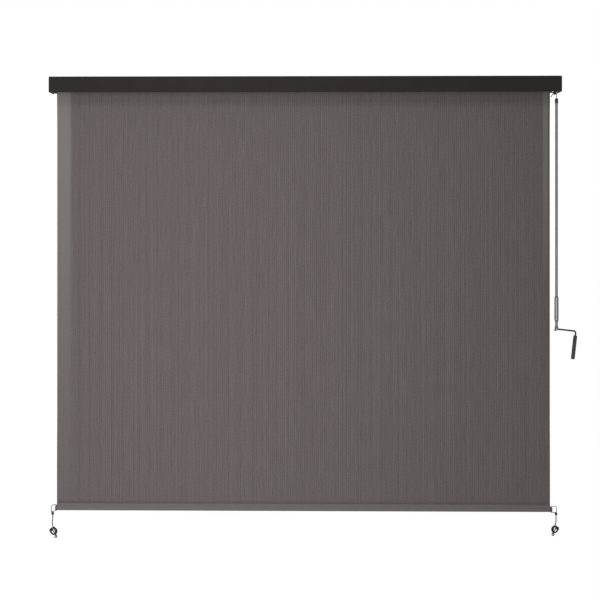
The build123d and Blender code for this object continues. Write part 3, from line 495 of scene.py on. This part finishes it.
fabricRoll = clothPiece("fabricRoll", roll["columns"], roll["steps"], rollSpot)
print("cloth made: panel, hem pocket and roll")

# two rows of stitches through the hem, drawn as repeated beads of thread
# the thread is a little lighter than the cloth: painted light that offsets the shade on the beads'
# tops and bottoms
threadLook = {
    "colour": (0.15, 0.14, 0.132), "shade": (0.12, 0.112, 0.106), "patch": 60, "grain": 2400,
    "rough": (0.6, 0.8), "bump": 0.3, "depth": 0.0002,
}
thread = grainFinish("hemThread", threadLook)


def stitchTree():
    tree = bpy.data.node_groups.new("stitchRow", "GeometryNodeTree")
    tree.is_modifier = True
    face = tree.interface
    face.new_socket("Geometry", in_out="OUTPUT", socket_type="NodeSocketGeometry")
    ids = {}
    for label, kind in (
        ("Start", "NodeSocketVector"), ("Pitch", "NodeSocketFloat"), ("Count", "NodeSocketInt"),
        ("Row Gap", "NodeSocketFloat"), ("Stitch Length", "NodeSocketFloat"),
        ("Thread Radius", "NodeSocketFloat"), ("Finish", "NodeSocketMaterial"),
    ):
        ids[label] = face.new_socket(label, in_out="INPUT", socket_type=kind).identifier
    given = tree.nodes.new("NodeGroupInput").outputs
    out = tree.nodes.new("NodeGroupOutput")

    def vector(**parts):
        return addNode(tree, "ShaderNodeCombineXYZ", **parts).outputs[0]

    rows = []
    step = vector(X=given["Pitch"])
    for row in range(2):
        drop = mathNode(tree, "MULTIPLY", given["Row Gap"], -float(row))
        slide = mathNode(tree, "MULTIPLY", given["Pitch"], 0.5 * row)
        start = tree.nodes.new("ShaderNodeVectorMath")
        tree.links.new(given["Start"], start.inputs[0])
        tree.links.new(vector(X=slide, Z=drop), start.inputs[1])
        line = addNode(tree, "GeometryNodeMeshLine", Count=given["Count"])
        tree.links.new(start.outputs[0], line.inputs["Start Location"])
        tree.links.new(step, line.inputs["Offset"])
        rows.append(line.outputs[0])
    joined = tree.nodes.new("GeometryNodeJoinGeometry")
    for line in rows:
        tree.links.new(line, joined.inputs[0])
    bead = addNode(tree, "GeometryNodeMeshUVSphere", Segments=6, Rings=5, Radius=1.0)
    half = mathNode(tree, "MULTIPLY", given["Stitch Length"], 0.5)
    size = vector(X=half, Y=given["Thread Radius"], Z=given["Thread Radius"])
    stitch = addNode(tree, "GeometryNodeTransform", Geometry=bead.outputs[0], Scale=size)
    placed = addNode(tree, "GeometryNodeInstanceOnPoints", Points=joined.outputs[0],
                     Instance=stitch.outputs[0])
    real = addNode(tree, "GeometryNodeRealizeInstances", Geometry=placed.outputs[0])
    painted = addNode(tree, "GeometryNodeSetMaterial", Geometry=real.outputs[0],
                      Material=given["Finish"])
    tree.links.new(painted.outputs[0], out.inputs[0])
    return tree, ids


stitchLook = {
    "pitch": 0.0042,
    "length": 0.0034,
    "radius": 0.00032,
    "rowGap": 0.005,
    "inset": 0.006,
    "rise": 0.0055,  # upper row above the seam
    "front": 0.00045,  # how far the thread stands out from the sheet's middle
    "back": 0.00125,
}
rowTree, rowIds = stitchTree()


def stitchPiece(name, y, z):
    piece = makePiece(name, bpy.data.meshes.new(name))
    rows = piece.modifiers.new("rows", "NODES")
    rows.node_group = rowTree
    count = int((clothWidth - 2 * stitchLook["inset"]) / stitchLook["pitch"])
    for label, value in (
        ("Start", (clothLeft + stitchLook["inset"], y, z)), ("Pitch", stitchLook["pitch"]),
        ("Count", count), ("Row Gap", stitchLook["rowGap"]),
        ("Stitch Length", stitchLook["length"]), ("Thread Radius", stitchLook["radius"]),
        ("Finish", thread),
    ):
        rows[rowIds[label]] = value
    return smooth(settle(piece))


stitchZ = panel["stitch"] + stitchLook["rise"]
frontStitches = stitchPiece("hemStitchesFront", clothY - stitchLook["front"], stitchZ)
backStitches = stitchPiece("hemStitchesBack", clothY + stitchLook["back"], stitchZ)
print("hem stitched")

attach(fabricPanel, "head")
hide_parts("fabric_panel")
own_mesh(fabricPanel)
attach(fabricRoll, "roller")
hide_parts("fabric_wraps")
for piece in (hemPocket, frontStitches, backStitches):
    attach(piece, "hem_bar")

# bungee cords of the tie-downs: a black braid with a few grey flecks
cordLook = {
    "colour": (0.009, 0.009, 0.010),
    "fleck": (0.035, 0.035, 0.037),
    "fleckRange": (0.55, 0.9),
    "strand": 0.0011,
    "strandBend": 0.4,
    "lean": 38,  # degrees
    "rough": (0.85, 0.55),
    "bump": 0.6,
    "depth": 0.0004,
    "specular": 0.15,
    "sheen": 0.1,
    "sheenRough": 0.4,
}


def braidFinish(name, look):
    finish, tree, shader = startFinish(name, look)
    coords = tree.nodes.new("ShaderNodeTexCoord").outputs["Object"]
    strands = []
    for lean in (look["lean"], -look["lean"]):
        turn = (0, math.radians(lean), 0)
        along = addNode(tree, "ShaderNodeMapping", Vector=coords, Rotation=turn).outputs[0]
        strands.append(bandTexture(tree, along, "X", look["strand"], look["strandBend"]))
    weave = mathNode(tree, "MULTIPLY", *strands)
    flecks = mapRange(tree, weave, *look["fleckRange"], 0.0, 1.0)
    colour = mixColours(tree, flecks, look["colour"], look["fleck"])
    rough = mapRange(tree, weave, 0.0, 1.0, *look["rough"])
    paint(tree, shader, colour, rough, weave, look["bump"], look["depth"])
    return finish


bungeeCover = braidFinish("bungeeCover", cordLook)
cordRadius = 0.00225

# X and Z of the hanging run from the ferrule to the loops, then the loops and the end ring
tieDowns = {
    "left": {
        "side": -1, "y": -0.04089,
        "run": [(-1.21125, -2.066), (-1.21125, -2.083), (-1.2140, -2.1010), (-1.2095, -2.1202)],
        "centre": (-1.206, -2.141), "half": (0.0165, 0.0185), "tilt": 20,
        "end": (-1.1965, -2.1685),
    },
    "right": {
        "side": 1, "y": -0.0285,
        "run": [(1.20455, -2.063), (1.20455, -2.077), (1.2034, -2.0920), (1.2006, -2.1066)],
        "centre": (1.198, -2.127), "half": (0.016, 0.0175), "tilt": -20,
        "end": (1.190, -2.153),
    },
}
loopLook = {
    "sweep": 1130,  # degrees, a little over three turns
    "perTurn": 16,
    "startAngle": 50,
    "shrink": 0.0016,  # each turn lies this far inside the one before
    "wobble": 0.0006,
    "wobbles": 5,  # half waves over all the loops
    "fan": 0.013,  # depth of the bundle, front to back
    "lead": (0.0, 0.0, 0.3, 1.0),  # how far forward the run drifts, in half fans
    "yaw": 56,  # degrees that the inner loop is turned edgeways
    "yawFrom": 0.5,  # where that starts, and how long it takes, as shares of the sweep
    "yawOver": 0.4,
}


def cordRoute(tie):
    # the hanging run drifts forward, the loops wind in and back, the inner one turned edgeways,
    # and the tail drops to the end ring
    y, halfFan = tie["y"], loopLook["fan"] / 2
    route = [(x, y - halfFan * lead, z) for (x, z), lead in zip(tie["run"], loopLook["lead"])]
    turns = loopLook["sweep"] / 360
    steps = round(turns * loopLook["perTurn"])
    tilt = math.radians(tie["tilt"])
    for k in range(steps + 1):
        share = k / steps
        angle = math.radians(loopLook["startAngle"] - loopLook["sweep"] * share)
        inward = loopLook["shrink"] * turns * share
        wobble = loopLook["wobble"] * math.sin(loopLook["wobbles"] * share * math.pi)
        turned = smoothStep((share - loopLook["yawFrom"]) / loopLook["yawOver"])
        yaw = math.radians(loopLook["yaw"]) * turned
        reach = (tie["half"][0] - inward + wobble) * math.cos(angle)
        across = reach * math.cos(yaw) * -tie["side"]
        back = -reach * math.sin(yaw)
        up = (tie["half"][1] - inward) * math.sin(angle)
        x = tie["centre"][0] + across * math.cos(tilt) - up * math.sin(tilt)
        z = tie["centre"][1] + across * math.sin(tilt) + up * math.cos(tilt)
        route.append((x, y - halfFan + loopLook["fan"] * share + back, z))
    # three points of the tail, chosen so that it straightens into the end ring
    endX, endZ = tie["end"]
    lastX, lastY, lastZ = route[-1]
    route.append((0.5 * (lastX + endX), 0.7 * lastY + 0.3 * y,
                  0.55 * lastZ + 0.45 * (endZ + 0.009)))
    route.append((endX, 0.3 * lastY + 0.7 * y, endZ + 0.0115))
    route.append((endX, y, endZ + 0.0065))
    return route


def makeCord(name, route):
    curve = bpy.data.curves.new(name, "CURVE")
    curve.dimensions = "3D"
    curve.bevel_depth = cordRadius
    curve.bevel_resolution = 4
    curve.resolution_u = 6
    curve.use_fill_caps = True
    spline = curve.splines.new("NURBS")
    spline.points.add(len(route) - 1)
    for point, spot in zip(spline.points, route):
        point.co = (*spot, 1)
    spline.order_u = 3
    spline.use_endpoint_u = True
    curve.materials.append(bungeeCover)
    cord = bpy.data.objects.new(name, curve)
    bpy.context.scene.collection.objects.link(cord)
    return cord


def lineLength(cord):
    # measured along the cord's own curve, without its thickness
    bare = cord.data.copy()
    bare.bevel_depth = 0
    holder = bpy.data.objects.new("measure", bare)
    line = bpy.data.meshes.new_from_object(holder)
    total = 0.0
    for edge in line.edges:
        start, end = (line.vertices[index].co for index in edge.vertices)
        total += (start - end).length
    bpy.data.objects.remove(holder)
    return total


blackLook = {
    "colour": (0.010, 0.010, 0.010), "shade": (0.016, 0.016, 0.016), "patch": 60, "grain": 1500,
    "rough": (0.34, 0.48), "bump": 0.12, "depth": 0.0002, "specular": 0.25,
}
blackPlastic = grainFinish("blackPlastic", blackLook)

band = {
    "wide": 0.0115,
    "deep": 0.0186,
    "high": 0.010,
    "thick": 0.0011,
    "inset": 0.0027,  # its middle, inside the loops' outer side
    "drop": 0.002,  # its foot, below the loops' middle
    "square": 0.55,  # 1 is an ellipse, less is boxier
    "ribs": 5,
    "rib": 0.0003,
    "around": 48,
    "up": 25,
}


def bandPiece(name, tie):
    # a moulded band round the loops at their outer side, ribbed along its height
    centreX = tie["centre"][0] + tie["side"] * (tie["half"][0] - band["inset"])
    base = tie["centre"][1] - band["drop"]

    def spot(i, j):
        angle = 2 * math.pi * j / band["around"]
        height = band["high"] * i / band["up"]
        bulge = band["rib"] * (0.5 + 0.5 * math.cos(2 * math.pi * band["ribs"] * i / band["up"]))
        cosine, sine = math.cos(angle), math.sin(angle)
        x = (band["wide"] / 2 + bulge) * math.copysign(abs(cosine) ** band["square"], cosine)
        y = (band["deep"] / 2 + bulge) * math.copysign(abs(sine) ** band["square"], sine)
        return (centreX + x, tie["y"] + y, base + height), (j / band["around"], i / band["up"])

    mesh = gridMesh(name, band["up"], band["around"], spot, closed=True)
    return thicken(makePiece(name, mesh, blackPlastic), band["thick"])


for side, tie in tieDowns.items():
    route = cordRoute(tie)
    cord = makeCord(f"bungeeCord_{side}", route)
    strap = bandPiece(f"cordBand_{side}", tie)
    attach(cord, "hem_bar")
    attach(strap, "hem_bar")
    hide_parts(f"tie_cord_{side}", f"tie_coil_{side}")
    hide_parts(f"tie_band_{side}")
    length = lineLength(cord)
    print("cord", side, "length", round(length, 3))

# finishes of the rigid parts, one for each material slot
finishes = {
    "valance_paint": grainFinish("charcoalPowderCoat", {
        "colour": (0.0175, 0.0130, 0.0124), "shade": (0.0210, 0.0160, 0.0152), "patch": 9,
        "grain": 900, "rough": (0.55, 0.66), "bump": 0.25, "depth": 0.0002, "specular": 0.13}),
    "cap_plastic": grainFinish("charcoalMoulding", {
        "colour": (0.0150, 0.0115, 0.0110), "shade": (0.0195, 0.0152, 0.0145), "patch": 30,
        "grain": 1600, "rough": (0.55, 0.7), "bump": 0.3, "depth": 0.00015, "specular": 0.15}),
    "bracket_steel": grainFinish("bracketPaint", {
        "colour": (0.03, 0.027, 0.026), "shade": (0.045, 0.041, 0.039), "patch": 25, "grain": 700,
        "rough": (0.4, 0.6), "bump": 0.3, "depth": 0.0002, "specular": 0.45}),
    "spring_steel": grainFinish("springSteel", {
        "colour": (0.36, 0.36, 0.37), "shade": (0.28, 0.27, 0.26), "patch": 40, "grain": 400,
        "stretch": (0.1, 1, 1), "rough": (0.25, 0.4), "bump": 0.1, "depth": 0.0001, "metal": 1.0}),
    "screw_steel": spangleFinish("zincPlate", {
        "colour": (0.55, 0.55, 0.56), "shade": (0.43, 0.43, 0.45), "cells": 350, "grain": 900,
        "rough": (0.2, 0.35), "bump": 0.1, "depth": 0.0001, "metal": 1.0}),
    "housing_plastic": grainFinish("blackNylon", {
        "colour": (0.02, 0.02, 0.021), "shade": (0.032, 0.032, 0.033), "patch": 45, "grain": 1300,
        "rough": (0.45, 0.6), "bump": 0.3, "depth": 0.0002}),
    "bush_plastic": grainFinish("acetal", {
        "colour": (0.035, 0.035, 0.036), "shade": (0.05, 0.05, 0.05), "patch": 60, "grain": 1800,
        "rough": (0.3, 0.4), "bump": 0.08, "depth": 0.0001}),
    "roller_aluminium": grainFinish("millAluminium", {
        "colour": (0.62, 0.62, 0.63), "shade": (0.5, 0.5, 0.51), "patch": 14, "grain": 500,
        "stretch": (0.01, 1, 1), "rough": (0.28, 0.45), "bump": 0.12, "depth": 0.0001,
        "metal": 1.0}),
    "gear_brass": grainFinish("cutBrass", {
        "colour": (0.62, 0.44, 0.18), "shade": (0.5, 0.35, 0.14), "patch": 70, "grain": 800,
        "rough": (0.25, 0.4), "bump": 0.1, "depth": 0.0001, "metal": 1.0}),
    "worm_steel": grainFinish("cutSteel", {
        "colour": (0.4, 0.4, 0.41), "shade": (0.3, 0.3, 0.3), "patch": 80, "grain": 900,
        "rough": (0.22, 0.38), "bump": 0.1, "depth": 0.0001, "metal": 1.0}),
    "black_plastic": blackPlastic,
    "ring_steel": grainFinish("darkWire", {
        "colour": (0.035, 0.033, 0.032), "shade": (0.018, 0.017, 0.016), "patch": 120,
        "grain": 1500, "rough": (0.4, 0.55), "bump": 0.15, "depth": 0.0001, "metal": 0.8}),
    "hook_steel": spangleFinish("brightZincWire", {
        "colour": (0.42, 0.42, 0.43), "shade": (0.30, 0.30, 0.32), "cells": 260, "grain": 1200,
        "rough": (0.2, 0.34), "bump": 0.08, "depth": 0.0001, "metal": 1.0}),
    "pole_metal": grainFinish("satinAluminium", {
        "colour": (0.15, 0.15, 0.155), "shade": (0.11, 0.11, 0.115), "patch": 30, "grain": 700,
        "stretch": (1, 1, 0.012), "rough": (0.24, 0.36), "bump": 0.08, "depth": 0.0001,
        "metal": 1.0}),
    "sleeve_plastic": grainFinish("smokedSleeve", {
        "colour": (0.2, 0.2, 0.205), "shade": (0.15, 0.15, 0.155), "patch": 20, "grain": 600,
        "stretch": (1, 1, 0.05), "rough": (0.14, 0.22), "bump": 0.04, "depth": 0.0001,
        "metal": 0.9}),
    "arm_steel": grainFinish("blackedRod", {
        "colour": (0.022, 0.021, 0.020), "shade": (0.036, 0.035, 0.034), "patch": 60, "grain": 900,
        "rough": (0.3, 0.45), "bump": 0.12, "depth": 0.0001, "metal": 0.7}),
    "grip_plastic": grainFinish("gripRubber", {
        "colour": (0.014, 0.014, 0.014), "shade": (0.022, 0.022, 0.022), "patch": 50, "grain": 1400,
        "rough": (0.5, 0.65), "bump": 0.3, "depth": 0.0002}),
    "shade_fabric": shadeCloth,
    "bungee": bungeeCover,
}

# the hem caps are moulded to match the cloth
capGrey = grainFinish("hemCapGrey", {
    "colour": (0.085, 0.080, 0.077), "shade": (0.105, 0.099, 0.095), "patch": 60, "grain": 1500,
    "rough": (0.5, 0.62), "bump": 0.15, "depth": 0.0002, "specular": 0.15})
ownFinish = {"hem_cap_left": capGrey, "hem_cap_right": capGrey}

for part in frame["record"]["subparts"]:
    node = nodes[part["node"]]
    node.data.materials.clear()
    node.data.materials.append(ownFinish.get(part["node"], finishes[part["material_slot"]]))
print("finishes given to", len(nodes), "parts")

# floor, world and lamps: most of the light comes level from the front, a little from above
roomLook = {
    "floorZ": -2.9,
    "floorHalf": 30.0,
    "floorSquares": 8,
    "floorColour": (0.86, 0.86, 0.86, 1),
    "floorRough": 0.9,
    "glow": 1.08,
    "glowShare": 0.9,  # the rest is the lit floor, which keeps the shadow
    "ambient": 0.29,
    "white": (1, 1, 1, 1),
}
lamps = {
    "keyLamp": {"place": (-0.75, -3.0, -1.15), "aim": (-0.75, 0, -1.15), "size": (1.1, 3.2),
                "power": 66.0},
    "topLamp": {"place": (-0.6, -3.0, 2.4), "aim": (-0.3, 0, -0.3), "size": (1.6, 1.2),
                "power": 30.0},
}


def seenDirectly(tree):
    # 1 for what the camera sees, straight or in metal or through glass
    path = tree.nodes.new("ShaderNodeLightPath").outputs
    mirrored = mathNode(tree, "MAXIMUM", path["Is Glossy Ray"], path["Is Transmission Ray"])
    return mathNode(tree, "MAXIMUM", path["Is Camera Ray"], mirrored)


def paleFloor():
    half, squares = roomLook["floorHalf"], roomLook["floorSquares"]

    def spot(i, j):
        u, v = i / squares, j / squares
        return (half * (2 * u - 1), half * (2 * v - 1), roomLook["floorZ"]), (u, v)

    finish, tree, shader = startFinish("paleFloor", {"specular": 0.1})
    shader.inputs["Base Color"].default_value = roomLook["floorColour"]
    shader.inputs["Roughness"].default_value = roomLook["floorRough"]
    glow = addNode(tree, "ShaderNodeEmission", Color=roomLook["white"], Strength=roomLook["glow"])
    blend = addNode(tree, "ShaderNodeMixShader")
    share = mathNode(tree, "MULTIPLY", seenDirectly(tree), roomLook["glowShare"])
    tree.links.new(share, blend.inputs[0])
    tree.links.new(shader.outputs[0], blend.inputs[1])
    tree.links.new(glow.outputs[0], blend.inputs[2])
    tree.links.new(blend.outputs[0], tree.nodes["Material Output"].inputs[0])
    floor = makePiece("floor", gridMesh("floor", squares, squares, spot), finish)


def paleWorld():
    world = bpy.data.worlds.new("paleWorld")
    world.use_nodes = True
    bpy.context.scene.world = world
    tree = world.node_tree
    tree.nodes.clear()
    soft = addNode(tree, "ShaderNodeBackground", Color=roomLook["white"],
                   Strength=roomLook["ambient"])
    white = addNode(tree, "ShaderNodeBackground", Color=roomLook["white"], Strength=1.0)
    blend = addNode(tree, "ShaderNodeMixShader")
    out = tree.nodes.new("ShaderNodeOutputWorld")
    tree.links.new(seenDirectly(tree), blend.inputs[0])
    tree.links.new(soft.outputs[0], blend.inputs[1])
    tree.links.new(white.outputs[0], blend.inputs[2])
    tree.links.new(blend.outputs[0], out.inputs[0])


def softLamp(name, place, aim, size, power):
    data = bpy.data.lights.new(name, "AREA")
    data.shape = "RECTANGLE"
    data.size, data.size_y = size
    data.energy = power
    lamp = bpy.data.objects.new(name, data)
    lamp.location = place
    lamp.rotation_euler = (Vector(aim) - Vector(place)).to_track_quat("-Z", "Y").to_euler()
    bpy.context.scene.collection.objects.link(lamp)


paleFloor()
paleWorld()
for name, lamp in lamps.items():
    softLamp(name, **lamp)
print("camera, floor and lamps placed")
